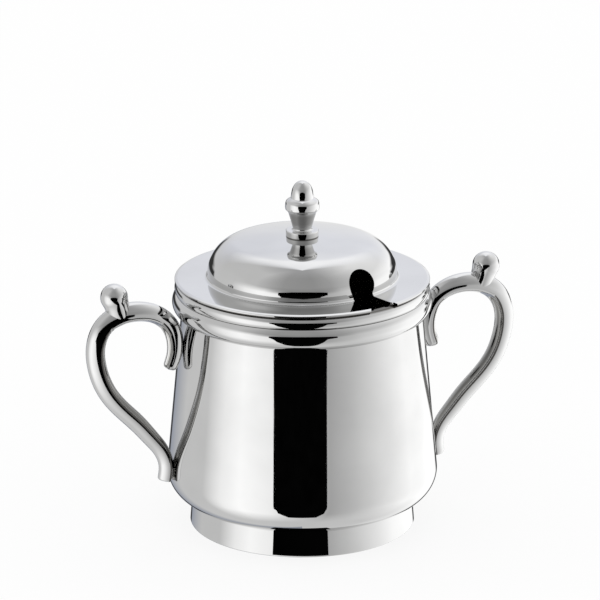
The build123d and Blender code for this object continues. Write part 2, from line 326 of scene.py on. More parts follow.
def smooth_curve(places, step=STEP):
    """Evenly spaced points on the smooth curve through some places, and its directions."""
    places = np.array(places, float)
    knots = np.concatenate([[0], np.cumsum(np.linalg.norm(np.diff(places, axis=0), axis=1))])
    gaps = np.diff(knots)
    size = len(places)
    system, right = np.eye(size), np.zeros_like(places)
    for row in range(1, size - 1):
        system[row, row - 1 : row + 2] = gaps[row - 1], 2 * (gaps[row - 1] + gaps[row]), gaps[row]
        rises = np.diff(places[row - 1 : row + 2], axis=0)
        right[row] = 6 * (rises[1] / gaps[row] - rises[0] / gaps[row - 1])
    bends = np.linalg.solve(system, right)

    knot = np.linspace(0, knots[-1], FINE_POINTS * size)
    span = np.clip(np.searchsorted(knots, knot) - 1, 0, size - 2)
    gap, low, high = (
        row[:, None] for row in (gaps[span], knots[span + 1] - knot, knot - knots[span]))
    fine = (
        (bends[span] * low**3 + bends[span + 1] * high**3) / (6 * gap)
        + (places[span] / gap - bends[span] * gap / 6) * low
        + (places[span + 1] / gap - bends[span + 1] * gap / 6) * high
    )
    run = np.concatenate([[0], np.cumsum(np.linalg.norm(np.diff(fine, axis=0), axis=1))])
    even = np.linspace(0, run[-1], max(3, ceil(run[-1] / step) + 1))
    points = np.stack([np.interp(even, run, column) for column in fine.T], axis=1)
    ways = np.gradient(points, axis=0)
    return points, ways / np.linalg.norm(ways, axis=1)[:, None]


# Meshes

def linked(name, bm):
    """A smooth-shaded object from a bmesh, which this frees."""
    mesh = bpy.data.meshes.new(name)
    bm.to_mesh(mesh)
    bm.free()
    piece = bpy.data.objects.new(name, mesh)
    bpy.context.scene.collection.objects.link(piece)
    shade(mesh)
    return piece


def shade(mesh):
    """Smooth shading between the sharp edges."""
    mesh.shade_smooth()
    mesh.set_sharp_from_angle(angle=SHARP)


def finished(name, bm, material, body=None, nodes=()):
    """An object from a bmesh. With a body it rides on that and stands for its nodes."""
    piece = linked(name, bm)
    piece.data.materials.append(material)
    if body:
        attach(piece, body)
        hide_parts(*nodes)
    return piece


def turned(points, closed=True, steps=TURN_STEPS):
    """A bmesh from an outline spun once round the pot's axis."""
    bm = bmesh.new()
    verts = [bm.verts.new((max(radius, 0), 0, height)) for radius, height in points]
    pairs = list(zip(verts, verts[1:])) + ([(verts[-1], verts[0])] if closed else [])
    edges = [bm.edges.new(pair) for pair in pairs]
    bmesh.ops.spin(
        bm, geom=verts + edges, cent=(0, 0, 0), axis=(0, 0, 1), angle=tau, steps=steps,
        use_merge=True,
    )
    bmesh.ops.remove_doubles(bm, verts=bm.verts, dist=WELD)
    bmesh.ops.recalc_face_normals(bm, faces=bm.faces)
    return bm


def cut_away(piece, cutters):
    """Cut some closed shapes out of a piece, for good."""
    for cutter in cutters:
        tool = linked("cutter", cutter)
        cut = piece.modifiers.new("cut", "BOOLEAN")
        cut.object = tool
        cut.operation = "DIFFERENCE"
        cut.solver = "EXACT"
        view = bpy.context.evaluated_depsgraph_get()
        mesh = bpy.data.meshes.new_from_object(piece.evaluated_get(view))
        piece.modifiers.remove(cut)
        spent, piece.data = (piece.data, tool.data), mesh
        bpy.data.objects.remove(tool)
        for old in spent:
            bpy.data.meshes.remove(old)
    shade(piece.data)


# Bowl

def base_height(bowl):
    """Height of the corner where the bowl's wall and base would meet."""
    return bowl.floor_height + bowl.base_rise


def neck_height():
    """Height where the cone-shaped wall turns into the upright neck."""
    return foot_of("rim_band")


def neck_top(bowl):
    """Height of the neck's edge, under the band's lip."""
    return top_of("rim_band") - bowl.rim_lip


def wall_radius(bowl, height):
    """Outer radius of the bowl's cone at a height."""
    share = (height - base_height(bowl)) / (neck_height() - base_height(bowl))
    return bowl.base_radius + share * (bowl.neck_radius - bowl.base_radius)


def bowl_corners(bowl):
    """The bowl's outer line from the middle of its floor to the top of its neck."""
    return [
        (0, bowl.floor_height),
        (bowl.floor_radius, bowl.floor_height, bowl.floor_bend),
        (bowl.base_radius, base_height(bowl), bowl.base_bend),
        (bowl.neck_radius, neck_height()),
        (bowl.neck_radius, neck_top(bowl)),
    ]


def under_bowl(bowl, radius):
    """Height of the bowl's sloping underside at a radius."""
    share = (radius - bowl.floor_radius) / (bowl.base_radius - bowl.floor_radius)
    return bowl.floor_height + share * bowl.base_rise


def bead(reach, middle, rounding, low, high):
    """Outline of a bead between two heights."""
    first, last = (atan2(height - middle, sqrt(rounding**2 - (height - middle) ** 2))
                   for height in (low, high))
    return arc((reach - rounding, middle), rounding, first, last)


def band_outline(bowl):
    """The rim band's section: two beads, the lip and the inner face on the neck."""
    foot, top = neck_height(), top_of("rim_band")
    groove = foot + bowl.groove_rise
    lower = bead(bowl.lower_reach, foot + bowl.lower_rise, bowl.lower_round, foot, groove)
    upper = bead(bowl.upper_reach, foot + bowl.upper_rise, bowl.upper_round, groove, top)
    mouth = bowl.neck_radius - bowl.sheet
    inner = [
        upper[-1],
        (mouth, top, bowl.mouth_round),
        (mouth, top - bowl.rim_lip),
        (bowl.neck_radius, top - bowl.rim_lip),
        (bowl.neck_radius, foot),
        lower[0],
    ]
    return lower + upper[:-1] + outline(inner)[:-1]


def foot_corners(bowl):
    """The foot ring's section, which runs up to the bowl's sloping underside."""
    slope = bowl.foot_flare / base_height(bowl)
    outer = bowl.foot_radius - slope * under_bowl(bowl, bowl.foot_radius)
    inner = outer - bowl.foot_wall
    return [
        (bowl.foot_radius, 0, bowl.foot_edge),
        (outer, under_bowl(bowl, outer)),
        (inner, under_bowl(bowl, inner)),
        (bowl.foot_radius - bowl.foot_wall, 0, bowl.foot_edge),
    ]


# Lid

def flange_top():
    """Height of the flange's upper face."""
    return foot_of("lid_cover") + bpy.context.scene.pot_lid.sheet


def dome_arcs(lid, depth):
    """The dome's outline from the axis down to the flange, moved inward by a depth."""
    lean = lid.flank_lean
    wall = lid.dome_radius - depth
    knee = Vector((wall, flange_top() + lid.knee_height - depth * tan(lean / 2)))
    crown, shoulder = lid.crown_round - depth, lid.shoulder_bend - depth
    middle = Vector((0, top_of("lid_cover") - lid.crown_round))
    # The shoulder's centre lies one shoulder inside the flank and inside the crown
    flank = Vector((-sin(lean), cos(lean)))
    start = knee - Vector((cos(lean), sin(lean))) * shoulder - middle
    reach = crown - shoulder
    run = -start.dot(flank) + sqrt(start.dot(flank) ** 2 - start.length_squared + reach**2)
    centre = middle + start + flank * run
    turn = atan2(centre.y - middle.y, centre.x - middle.x)
    crown_run = ceil(crown * (pi / 2 - turn) / STEP)
    points = [
        (crown * cos(pi / 2 + (turn - pi / 2) * index / crown_run),
         middle.y + crown * sin(pi / 2 + (turn - pi / 2) * index / crown_run))
        for index in range(crown_run)
    ]
    points += arc(centre, shoulder, turn, lean)
    return points, (knee.x, knee.y, lid.knee_bend - depth)


def lid_outline(lid):
    """The lid's section: the dome and the flange in one sheet."""
    top, under = flange_top(), foot_of("lid_cover")
    edge = reach_of("lid_cover")
    outer, knee = dome_arcs(lid, 0)
    inner, inner_knee = dome_arcs(lid, lid.sheet)
    skirt = outline([
        outer[-1],
        knee,
        (lid.dome_radius, top, lid.foot_bend),
        (edge - lid.roll_width, top, lid.roll_width),
        (edge, top - lid.roll_drop, lid.flange_edge),
        (edge, under, lid.flange_edge),
        (lid.dome_radius - lid.sheet, under, lid.foot_bend),
        inner_knee,
        inner[-1],
    ], step=mm(0.5))
    return outer[:-1] + skirt[:-1] + inner[::-1]


def ring_corners(lid):
    """The locating ring's section under the flange."""
    outer, low, high = reach_of("lid_bezel"), foot_of("lid_bezel"), foot_of("lid_cover")
    inner = outer - lid.ring_wall
    soft = lid.ring_wall / 4
    return [(outer, low, soft), (outer, high), (inner, high), (inner, low, soft)]


def notch_cutters(lid):
    """The keyhole's two cutters: the tilted round eye and the slot out to the edge."""
    turn = Matrix.Rotation(lid.notch_turn - pi / 2, 4, "Z")
    top = flange_top()
    flank = lid.dome_radius - (lid.eye_height - lid.knee_height) * tan(lid.flank_lean)
    eye = bmesh.new()
    bmesh.ops.create_cone(
        eye, cap_ends=True, segments=KNOB_STEPS, radius1=lid.eye_radius, radius2=lid.eye_radius,
        depth=lid.dome_radius,
        matrix=turn @ Matrix.Translation((flank, 0, top + lid.eye_height))
        @ Matrix.Rotation(pi / 2 - lid.eye_tilt, 4, "Y"),
    )
    inner = lid.dome_radius - lid.eye_radius
    edge = reach_of("lid_cover")
    half, wide = lid.slot_half, lid.slot_half + 2 * lid.mouth_flare
    plan = [
        (inner, half),
        (edge - lid.mouth_depth, half, lid.mouth_bend),
        (edge + lid.mouth_depth, wide),
        (edge + lid.mouth_depth, -wide),
        (edge - lid.mouth_depth, -half, lid.mouth_bend),
        (inner, -half),
    ]
    low = foot_of("lid_bezel") - lid.sheet
    slot = bmesh.new()
    # A step longer than every side keeps each side in one piece
    sole = slot.faces.new([
        slot.verts.new((x, y, low)) for x, y in outline(plan, True, step=lid.dome_radius)])
    walls = bmesh.ops.extrude_face_region(slot, geom=[sole])["geom"]
    raised = [item for item in walls if isinstance(item, bmesh.types.BMVert)]
    rise = top + lid.eye_height / 2 - low
    bmesh.ops.translate(slot, verts=raised, vec=(0, 0, rise))
    bmesh.ops.transform(slot, matrix=turn, verts=slot.verts)
    bmesh.ops.recalc_face_normals(slot, faces=slot.faces)
    return eye, slot


# Knob

# Places up the knob: on the cone and the acorn as shares of the step across and of the rise,
# on the bulb as mm inside its greatest radius and mm above the cone
CONE = [(0, 0), (0.25, 0.34), (0.53, 0.70), (0.76, 0.90), (1, 1)]
ACORN = [(0, 0), (0.015, 0.14), (0.06, 0.33), (0.18, 0.60), (0.40, 0.82), (0.72, 0.965), (1, 1)]
BULB = [(0.08, 0.3), (0.02, 0.7), (0, 1.15), (0.03, 1.7), (0.1, 2.2), (0.21, 2.6), (0.4, 2.9),
        (0.74, 3.2), (1.2, 3.5)]


def between(start, end, shares):
    """Places between two points, each given as shares of the step across and up."""
    return [(start[0] + (end[0] - start[0]) * across, start[1] + (end[1] - start[1]) * up)
            for across, up in shares]


def knob_outline(knob):
    """The knob's outline from its foot on the dome to its tip."""
    crown = top_of("lid_cover")
    tip = (0, top_of("knob"))
    curve = bpy.context.scene.pot_lid.crown_round

    def at(radius, height, *rounding):
        return (radius, crown + height, *rounding)

    sole = curve - sqrt(curve**2 - knob.collar_radius**2) + HAIR
    foot = outline([
        at(0, -sole),
        at(knob.collar_radius, -sole),
        at(knob.collar_radius, knob.collar_height, knob.collar_edge),
        at(knob.waist_radius, knob.collar_height, knob.waist_bend),
        at(knob.waist_radius, knob.collar_height + knob.waist_bend + HAIR),
    ], step=mm(0.2))
    cone_top = at(knob.cone_radius, knob.cone_height)
    acorn_foot = at(knob.acorn_radius, knob.acorn_foot)
    bulb = [at(knob.bulb_radius - mm(inward), knob.cone_height + mm(up)) for inward, up in BULB]
    points = foot[:-1]
    for part in (between(foot[-1], cone_top, CONE), [cone_top, bulb[0]], bulb + [acorn_foot],
                 between(acorn_foot, tip, ACORN)):
        points += [tuple(point) for point in smooth_curve(part, mm(0.16))[0][:-1]]
    return points + [tip]


# Handles

# How large the handle's section is where hook and tail touch the bowl and along its path, and
# how deep its flutes are, against the share of the path from the hook's tip
HOOK_SIZE, TAIL_SIZE = 0.92, 0.76
SECTION_SIZE = [(0.0, TAIL_SIZE), (0.14, HOOK_SIZE), (0.32, 1.06), (0.50, 1.0), (0.72, 0.95),
                (1.0, TAIL_SIZE)]
FLUTE_SHARE = [(0.0, 0.9), (0.12, 1.0), (0.22, 0.25), (0.34, 0.15), (0.42, 1.0), (1.0, 1.0)]

# The path: shares of the hook tip's lift and drop, shares of the reach and of the rise above the
# hook's touch, and shares of the reach and of the fall to the tail's touch
HOOK_TIP = [(1.0, 1.0), (0.16, 0.45)]
UPPER_PATH = [(0, 0), (0.065, 0.52), (0.22, 0.85), (0.51, 1.0), (0.74, 0.90), (0.90, 0.62),
              (0.995, 0.10)]
LOWER_PATH = [(0.985, 0.14), (0.86, 0.355), (0.69, 0.495), (0.49, 0.625), (0.30, 0.768)]
TAIL_BEND = (0.08, 0.142)


def handle_places(bowl, handle):
    """Places on the right handle's centre line, from the hook's tip to the tail's tip."""
    touch = neck_height() - handle.hook_drop
    tail_touch = base_height(bowl) + handle.tail_rise
    reach, fall = handle.reach, touch - tail_touch
    hook = wall_radius(bowl, touch) + handle.half_width * HOOK_SIZE - handle.sink
    tail = wall_radius(bowl, tail_touch) + handle.inner_depth * TAIL_SIZE - handle.sink
    return [
        *((hook + lift * handle.hook_tip_lift, touch - drop * handle.hook_tip_drop)
          for lift, drop in HOOK_TIP),
        *((hook + across * reach, touch + up * handle.rise) for across, up in UPPER_PATH),
        *((hook + across * reach, touch - down * fall) for across, down in LOWER_PATH),
        (tail + TAIL_BEND[0] * reach, tail_touch + TAIL_BEND[1] * fall),
        (tail, tail_touch),
        (tail + handle.tail_tip_lift, tail_touch - handle.tail_tip_drop),
    ]


def eased(share, stops):
    """A value that eases from stop to stop; each stop is (share, value)."""
    for (low, low_value), (high, high_value) in zip(stops, stops[1:]):
        if share <= high:
            step = (share - low) / (high - low)
            return low_value + (high_value - low_value) * step * step * (3 - 2 * step)
    return stops[-1][1]


# Points of the section: a half round outside, the inner side, and the spots along one half of
# the inner side that make its edge, its flute and the crease between flute and rib
OUTSIDE_POINTS, INSIDE_POINTS = 37, 45
MIRROR_SPOT = 2 * OUTSIDE_POINTS + INSIDE_POINTS - 1
EDGE_SPOTS, FLUTE_SPOTS, CREASE_SPOTS = (37, 38), (38, 55), (46, 49)
# Material slots: the plain plate, a darker plate in the flutes, and painted shade along the edge
# and in the creases beside the rib
POLISHED, FLUTED, CREASED = range(3)
END_TURNS = [radians(turn) for turn in (0, 25, 50, 72, 90)]


def section_points(handle, size, flute):
    """Points round the handle's section as (outward, sideways): a half round outside,
    and a rib between two flutes inside, which fade into a plain rounded face."""
    half = handle.half_width * size
    widest = handle.widest_line * size
    depth = handle.inner_depth * size - widest
    side = handle.edge_step * flute
    points = [((half + widest) * cos(turn) - widest, half * sin(turn))
              for turn in np.linspace(-pi / 2, pi / 2, OUTSIDE_POINTS)]
    for turn in np.linspace(0, pi, INSIDE_POINTS):
        across = cos(turn)
        plain = depth * (1 - abs(across) ** handle.squareness) ** 0.5
        rib = 0.5 + 0.5 * cos(pi * min(1, abs(across) / handle.rib_share))
        fluted = side + (depth - side) * rib
        points.append((-widest - plain - (fluted - plain) * flute,
                       handle.inner_share * half * across))
    return points


def section_slot(low, high):
    """Material slot of the strip between two spots of the section."""
    low, high = sorted(min(spot, MIRROR_SPOT - spot) for spot in (low, high))
    # The edge strips and the creases beside the rib get the painted shade
    if high in EDGE_SPOTS or CREASE_SPOTS[0] <= low and high <= CREASE_SPOTS[1]:
        return CREASED
    return FLUTED if FLUTE_SPOTS[0] <= low and high <= FLUTE_SPOTS[1] else POLISHED


def handle_form(bowl, handle):
    """The right handle as a bmesh, extruded ring by ring along its centre line."""
    step = mm(0.55)
    places, ways = smooth_curve(handle_places(bowl, handle), step)
    last = len(places) - 1

    def ring_places(index, shrink=1.0, ahead=0.0):
        """The section at a step of the path, made smaller and moved along the path."""
        share = index / last
        size = eased(share, SECTION_SIZE)
        flat = section_points(handle, size, eased(share, FLUTE_SHARE))
        way = Vector((ways[index][0], 0, ways[index][1]))
        outward = Vector((-way.z, 0, way.x))
        centre = Vector((places[index][0], 0, places[index][1])) + way * ahead
        return [centre + outward * (x * shrink) + Vector((0, y * shrink, 0)) for x, y in flat]

    def end_rings(index, run, shrink):
        """Rings that round off an end over a run, from its tip inwards."""
        return [ring_places(index, 1 - shrink * (1 - sin(turn)), run * (1 - cos(turn)))
                for turn in END_TURNS]

    hook_end, tail_end = mm(1.5), mm(0.7)
    rings = end_rings(0, hook_end, shrink=0.5)
    rings += [ring_places(index) for index in range(
        ceil(hook_end / step) + 1, last - ceil(tail_end / step))]
    rings += end_rings(last, -tail_end, shrink=0.2)[::-1]
    bm = bmesh.new()
    spots = {}
    loop = [bm.verts.new(place) for place in rings[0]]
    edges = [bm.edges.new(pair) for pair in zip(loop, loop[1:] + loop[:1])]
    bm.faces.new(loop)
    for ring in rings[1:]:
        new = bmesh.ops.extrude_edge_only(bm, edges=edges)["geom"]
        edges = [item for item in new if isinstance(item, bmesh.types.BMEdge)]
        loop = next_loop(loop, {vert for edge in edges for vert in edge.verts})
        for spot, (vert, place) in enumerate(zip(loop, ring)):
            vert.co = place
            spots[vert] = spot
    bm.faces.new(loop)
    bm.verts.index_update()
    for face in bm.faces:
        strip = {spots.get(vert, 0) for vert in face.verts}
        ring = min(vert.index for vert in face.verts) // len(loop)
        if eased(ring / len(rings), FLUTE_SHARE) > 0.5:
            face.material_index = section_slot(min(strip), max(strip))
    bmesh.ops.recalc_face_normals(bm, faces=bm.faces)
    return bm


def next_loop(loop, new_verts):
    """The new ring's vertices in the order of the ring that they were extruded from."""
    return [next(edge.other_vert(vert) for edge in vert.link_edges
                 if edge.other_vert(vert) in new_verts) for vert in loop]


def ball_centre():
    """Centre and radius of the right thumb ball."""
    low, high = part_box("right_thumb_ball")
    radius = (high[1] - low[1]) / 2
    return Vector(((low[0] + high[0]) / 2, 0, (low[2] + high[2]) / 2)), radius


# Where the ball turns into its stalk, and places down the stalk: shares of the step to the
# stalk's radius and of the way down, then mm inside that radius and shares of the way down
BALL_EDGE = radians(-18)
STALK = [(0, 0), (0.35, 0.11), (0.62, 0.24), (0.8, 0.39), (1.0, 0.57)]
STALK_END = [(0.18, 0.8), (0.4, 1.0)]


def ball_form(handle, radius):
    """A thumb ball on the stalk that runs down into the handle, upright about the origin."""
    side, low = radius * cos(BALL_EDGE), radius * sin(BALL_EDGE)
    stalk, end = handle.stalk_radius, -handle.stalk_length
    places = between((side, low), (stalk, end), STALK)
    places += [(stalk - mm(inward), low + (end - low) * down) for inward, down in STALK_END]
    points = arc((0, 0), radius, pi / 2, BALL_EDGE)[:-1]
    points += [tuple(point) for point in smooth_curve(places, mm(0.2))[0]]
    return turned(points + [(0, end)], closed=False, steps=BALL_STEPS)


def line_inside(piece, material):
    """Give the faces that look up or at the pot's axis a material of their own."""
    piece.data.materials.append(material)
    for face in piece.data.polygons:
        away = Vector((face.center.x, face.center.y, 0))
        looks_up, looks_in = face.normal.z > 0.5, face.normal.dot(away) < -0.01 * away.length
        face.material_index = int(looks_up or looks_in)


# Materials

class Nodes:
    """A material's node tree, with short ways to add and join its nodes."""

    def __init__(self, name):
        self.material = bpy.data.materials.new(name)
        self.material.use_nodes = True
        self.tree = self.material.node_tree
        self.tree.nodes.clear()

    def add(self, kind, inputs=(), **settings):
        """Add a node; inputs are (socket, value or source socket)."""
        node = self.tree.nodes.new(kind)
        for key, value in settings.items():
            setattr(node, key, value)
        for socket, value in inputs:
            if isinstance(value, bpy.types.NodeSocket):
                self.tree.links.new(value, node.inputs[socket])
            else:
                node.inputs[socket].default_value = value
        return node

    def math(self, operation, first, second=0.0):
        """The result of a sum on two values."""
        return self.add(
            "ShaderNodeMath", [(0, first), (1, second)], operation=operation).outputs[0]

    def times(self, first, *others):
        """The product of some values."""
        for other in others:
            first = self.math("MULTIPLY", first, other)
        return first

    def mix(self, share, first, second):
        """The colour between two colours."""
        return self.add("ShaderNodeMix", [(0, share), (6, first), (7, second)],
                        data_type="RGBA").outputs[2]

    def ranged(self, value, low, high, new_low, new_high):
        """A value moved from one range to another."""
        node = self.add("ShaderNodeMapRange", [
            ("Value", value), ("From Min", low), ("From Max", high),
            ("To Min", new_low), ("To Max", new_high)])
        return node.outputs[0]

    def finish(self, shader):
        """Join the shader to the output and give the material."""
        output = self.add("ShaderNodeOutputMaterial")
        self.tree.links.new(shader, output.inputs[0])
        return self.material


def opaque(rgb):
    """A colour with full alpha."""
    return (*rgb, 1.0)


def grey(level):
    """A grey with full alpha."""
    return (level, level, level, 1.0)


def plate_material(name, shade_bands=(), tint=None, polish=None, haze=None):
    """Mirror plate: faint cloudy tint, wiping haze, fine polishing lines, painted shade in
    creases.

    Each band of painted shade is (height, reach, strength) along a crease."""
    look = bpy.context.scene.pot_finish
    nodes = Nodes(name)
    place = nodes.add("ShaderNodeTexCoord").outputs["Object"]
    cloud = nodes.add("ShaderNodeTexNoise", [
        ("Vector", place), ("Scale", 45.0), ("Detail", 3.0), ("Roughness", 0.55)]).outputs[0]
    tint = tint or look.plate
    darker = tuple(0.93 * part for part in tint)
    colour_now = nodes.mix(
        nodes.ranged(cloud, 0.35, 0.65, 0.0, 1.0), opaque(darker), opaque(tint))
    height = nodes.add("ShaderNodeSeparateXYZ", [("Vector", place)]).outputs["Z"]
    # Painted shade: near each band's height the colour darkens towards the crease colour
    for seam, reach, strength in shade_bands:
        away = nodes.math("ABSOLUTE", nodes.math("SUBTRACT", height, seam))
        dark = nodes.ranged(away, reach, 0.4 * reach, 0.0, strength)
        colour_now = nodes.mix(dark, colour_now, opaque(look.crease_shade))
    stretch = nodes.add("ShaderNodeMapping", [
        ("Vector", place), ("Scale", (60.0, 60.0, 2600.0))]).outputs[0]
    lines = nodes.add("ShaderNodeTexNoise", [
        ("Vector", stretch), ("Scale", 1.0), ("Detail", 2.0)]).outputs[0]
    wipes = nodes.add("ShaderNodeTexNoise", [
        ("Vector", place), ("Scale", 110.0), ("Detail", 4.0), ("Distortion", 0.6)]).outputs[0]
    low = look.polish if polish is None else polish
    high = look.haze if haze is None else haze
    dull = nodes.ranged(wipes, 0.48, 0.78, low, high)
    bump = nodes.add("ShaderNodeBump", [
        ("Strength", 0.012), ("Distance", 0.0002), ("Height", lines)]).outputs[0]
    shader = nodes.add("ShaderNodeBsdfPrincipled", [
        ("Base Color", colour_now), ("Metallic", 1.0), ("Roughness", dull), ("Normal", bump)])
    return nodes.finish(shader.outputs[0])


def turned_brass():
    """Turned brass with fine tool marks."""
    look = bpy.context.scene.pot_finish
    nodes = Nodes("turned_brass")
    place = nodes.add("ShaderNodeTexCoord").outputs["Object"]
    stretch = nodes.add("ShaderNodeMapping", [
        ("Vector", place), ("Scale", (300.0, 300.0, 5000.0))]).outputs[0]
    marks = nodes.add("ShaderNodeTexNoise", [
        ("Vector", stretch), ("Scale", 1.0), ("Detail", 3.0)]).outputs[0]
    darker = tuple(0.72 * part for part in look.brass)
    colour_now = nodes.mix(marks, opaque(darker), opaque(look.brass))
    shader = nodes.add("ShaderNodeBsdfPrincipled", [
        ("Base Color", colour_now), ("Metallic", 1.0),
        ("Roughness", nodes.ranged(marks, 0.2, 0.8, 0.22, 0.38)),
        ("Normal", nodes.add("ShaderNodeBump", [
            ("Strength", 0.15), ("Distance", 0.0001), ("Height", marks)]).outputs[0])])
    return nodes.finish(shader.outputs[0])


def cast_plate():
    """The plate on the cast and turned pieces, made once."""
    return bpy.data.materials.get("cast_plate") or plate_material("cast_plate")


# Operators

class SUGARPOT_OT_bowl(bpy.types.Operator):
    """Make the bowl, the beaded rim band and the foot ring."""

    bl_idname = "sugarpot.bowl"
    bl_label = "Bowl, rim and foot"

    def execute(self, context):
        bowl = context.scene.pot_bowl
        seam, joint = neck_height(), under_bowl(bowl, bowl.foot_radius)
        corners = bowl_corners(bowl)
        outer = outline(corners)
        inner = outline(inset(corners, bowl.sheet))
        # Painted shade along the joint under the rim band and where the foot meets the bowl
        plate = plate_material("bowl_plate", [(seam, mm(0.5), 0.9), (joint, mm(0.35), 0.9)])
        shell = finished("bowl", turned(outer + inner[::-1], closed=False), plate, "pot",
                         ["pot_body"])
        line_inside(shell, plate_material(
            "inside_plate", tint=context.scene.pot_finish.inside, polish=0.16, haze=0.3))
        # Painted shade in the groove between the beads, at the band's foot, and dark under the
        # lid's flange
        band = plate_material("band_plate", [
            (seam + bowl.groove_rise, mm(0.14), 0.9), (seam, mm(0.2), 0.9),
            (top_of("rim_band"), mm(0.7), 0.97)])
        finished("mouth_band", turned(band_outline(bowl)), band, "pot", ["rim_band"])
        # Painted shade where the foot ring meets the bowl
        ring = plate_material("foot_plate", [(joint, mm(0.3), 0.9)])
        finished("foot", turned(outline(foot_corners(bowl), True)), ring, "pot", ["foot_ring"])
        return {"FINISHED"}


class SUGARPOT_OT_lid(bpy.types.Operator):
    """Make the lid's shell and its locating ring, with the keyhole notch cut through both."""

    bl_idname = "sugarpot.lid"
    bl_label = "Lid"

    def execute(self, context):
        lid = context.scene.pot_lid
        # Painted shade under the flange's edge
        plate = plate_material("lid_plate", [(foot_of("lid_cover"), mm(0.5), 0.97)])
        shell = finished("lid_shell", turned(lid_outline(lid), closed=False), plate, "lid",
                         ["lid_cover"])
        ring = finished("locating_ring", turned(outline(ring_corners(lid), True)), cast_plate(),
                        "lid", ["lid_bezel"])
        for piece in (shell, ring):
            cut_away(piece, notch_cutters(lid))
        return {"FINISHED"}


class SUGARPOT_OT_knob(bpy.types.Operator):
    """Make the turned knob, and finish the screw and washer that hold it."""

    bl_idname = "sugarpot.knob"
    bl_label = "Knob"

    def execute(self, context):
        crown = top_of("lid_cover")
        # Painted shade where the knob stands on the dome, and fainter painted shade over the cone
        plate = plate_material("knob_plate", [
            (crown, mm(0.25), 0.9), (crown + mm(5.6), mm(2.9), 0.4)])
        form = turned(knob_outline(context.scene.pot_knob), closed=False, steps=KNOB_STEPS)
        finished("turned_knob", form, plate, "lid", ["knob"])
        brass = turned_brass()
        for node in ("knob_screw", "knob_washer"):
            for slot in bpy.data.objects[node].material_slots:
                slot.material = brass
        return {"FINISHED"}


class SUGARPOT_OT_handles(bpy.types.Operator):
    """Make the two scroll handles and their thumb balls."""

    bl_idname = "sugarpot.handles"
    bl_label = "Handles"

    def execute(self, context):
        look, handle = context.scene.pot_finish, context.scene.pot_handle
        # A darker, rougher plate in the flutes, and painted shade along the handle's edges and
        # creases
        darker_plates = [plate_material("flute_plate", tint=look.flute, polish=0.06, haze=0.2),
                plate_material("crease_shade_plate", tint=look.crease_shade, polish=0.1, haze=0.3)]
        centre, radius = ball_centre()
        stand = Matrix.Translation(centre) @ Matrix.Rotation(pi / 2 - handle.ball_turn, 4, "Y")
        for side, flip in (("right", 1), ("left", -1)):
            mirror = Matrix.Diagonal((flip, 1, 1, 1))
            scroll, ball = (
                self.placed(form, matrix) for form, matrix in (
                    (handle_form(context.scene.pot_bowl, handle), mirror),
                    (ball_form(handle, radius), mirror @ stand)))
            scroll = finished(f"{side}_scroll", scroll, cast_plate(), "pot", [f"{side}_handle"])
            for plate in darker_plates:
                scroll.data.materials.append(plate)
            finished(f"{side}_ball", ball, cast_plate(), "pot", [f"{side}_thumb_ball"])
        return {"FINISHED"}

    def placed(self, form, matrix):
        """A form moved into place, with its faces turned outwards again."""
        bmesh.ops.transform(form, matrix=matrix, verts=form.verts)
        bmesh.ops.recalc_face_normals(form, faces=form.faces)
        return form


# Light on the tent's cloth round the pot, as (degrees to the right of the camera, level)
LOW_LIGHT = [
    (-180, 0.66), (-165, 0.52), (-92, 0.57), (-72, 0.92), (-54, 1.06), (-26, 0.92),
    (23, 0.39), (45, 0.53), (75, 0.79), (104, 1.04), (140, 1.06), (165, 0.78), (180, 0.66)]
HIGH_LIGHT = [
    (-180, 0.82), (-165, 0.60), (-143, 0.52), (-62, 0.54), (-40, 0.40), (-25, 0.32),
    (15, 0.29), (38, 0.35), (70, 0.55), (105, 0.76), (140, 0.84), (165, 0.98), (180, 0.82)]


def light_ramp(nodes, around, stops):
    """A ramp of grey levels round the tent."""
    ramp = nodes.add("ShaderNodeValToRGB", [("Fac", around)])
    elements = ramp.color_ramp.elements
    while len(elements) < len(stops):
        elements.new(0.5)
    for element, (degree, level) in zip(elements, stops):
        element.position = (degree + 180) / 360
        element.color = grey(level)
    return ramp.outputs[0]


# Colours on the tent away from the ramps, and two dark gaps behind the pot on each side, as
# (degrees off the camera: first, last), (rise of the lower edge: from, to), (of the upper edge)
UNDERSIDE, VEIL, GAP, BACK_GLOW = grey(0.58), grey(0.24), grey(0.03), grey(1.1)
ROOF, DIM_CORNER = (0.36, 0.36, 0.365, 1.0), (0.25, 0.27, 0.32, 1.0)
BACK_HAZE = (0.64, 0.66, 0.74, 1.0)
GAPS = [((157, 172), (-48, -40), (6, 0)), ((130, 166), (-11, -8), (4, -1))]


